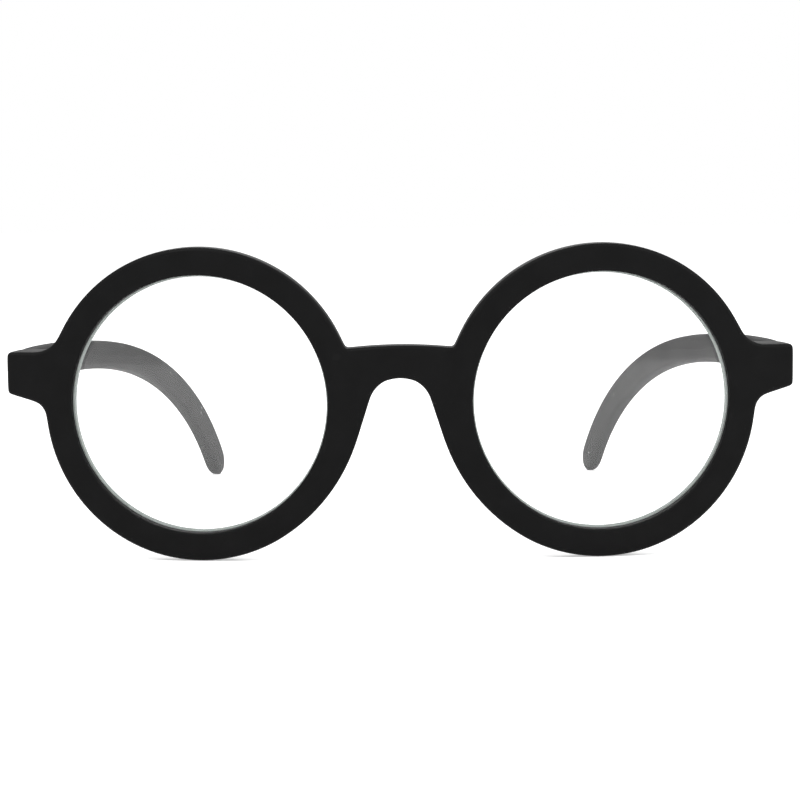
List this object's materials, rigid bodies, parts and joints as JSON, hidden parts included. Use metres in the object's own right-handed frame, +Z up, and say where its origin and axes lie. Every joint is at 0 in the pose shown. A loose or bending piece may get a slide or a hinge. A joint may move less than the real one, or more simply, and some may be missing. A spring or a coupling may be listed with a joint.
{
  "type": "round eyeglasses",
  "caption": "Round full-rim eyeglasses with a keyhole bridge, moulded nose pads, clear lenses and sprung folding temples with ear hooks.",
  "frame": {"origin": "on the table under the middle of the glasses' bounding box", "axes": "+Z up, +X to the right as the front is looked at, the front faces -Y and the temples run to +Y; left names the -X side"},
  "size_m": [0.1388, 0.1412, 0.0551],
  "materials": {
    "front_plastic": "fine matt, soft touch",
    "temple_plastic": "fine matt, soft touch",
    "lens": "clear, polished",
    "hinge_steel": "satin",
    "screw_steel": "polished",
    "spring_steel": "drawn wire",
    "bush_brass": "turned"
  },
  "bodies": {
    "front": {"front_frame": "front_plastic", "lens_left": "lens", "lens_right": "lens", "front_hinge_plate_left": "hinge_steel", "front_hinge_plate_right": "hinge_steel", "plate_pins_left": "screw_steel", "plate_pins_right": "screw_steel", "hinge_screw_left": "screw_steel", "hinge_screw_right": "screw_steel"},
    "slider_left": {"hinge_slider_left": "hinge_steel", "slider_nut_left": "bush_brass"},
    "temple_arm_left": {"temple_left": "temple_plastic", "spring_housing_left": "hinge_steel", "spring_guide_left": "bush_brass", "hinge_spring_left": "spring_steel", "housing_pins_left": "screw_steel"},
    "slider_right": {"hinge_slider_right": "hinge_steel", "slider_nut_right": "bush_brass"},
    "temple_arm_right": {"temple_right": "temple_plastic", "spring_housing_right": "hinge_steel", "spring_guide_right": "bush_brass", "hinge_spring_right": "spring_steel", "housing_pins_right": "screw_steel"}
  },
  "joints": [
    {"name": "temple_fold_left", "type": "hinge", "parent": "front", "child": "slider_left", "pos_m": [-0.06344, -0.05395, 0.03325], "axis": [0, 0, -1], "range_deg": [0, 81]},
    {"name": "temple_spring_left", "type": "slide", "parent": "slider_left", "child": "temple_arm_left", "axis": [0, 1, 0], "range_m": [0, 0.0012], "stiffness_N_per_m": 2500, "springref_m": -0.001, "deforming": ["hinge_spring_left"]},
    {"name": "temple_fold_right", "type": "hinge", "parent": "front", "child": "slider_right", "pos_m": [0.06344, -0.05395, 0.03325], "axis": [0, 0, 1], "range_deg": [0, 74]},
    {"name": "temple_spring_right", "type": "slide", "parent": "slider_right", "child": "temple_arm_right", "axis": [0, 1, 0], "range_m": [0, 0.0012], "stiffness_N_per_m": 2500, "springref_m": -0.001, "deforming": ["hinge_spring_right"]}
  ]
}
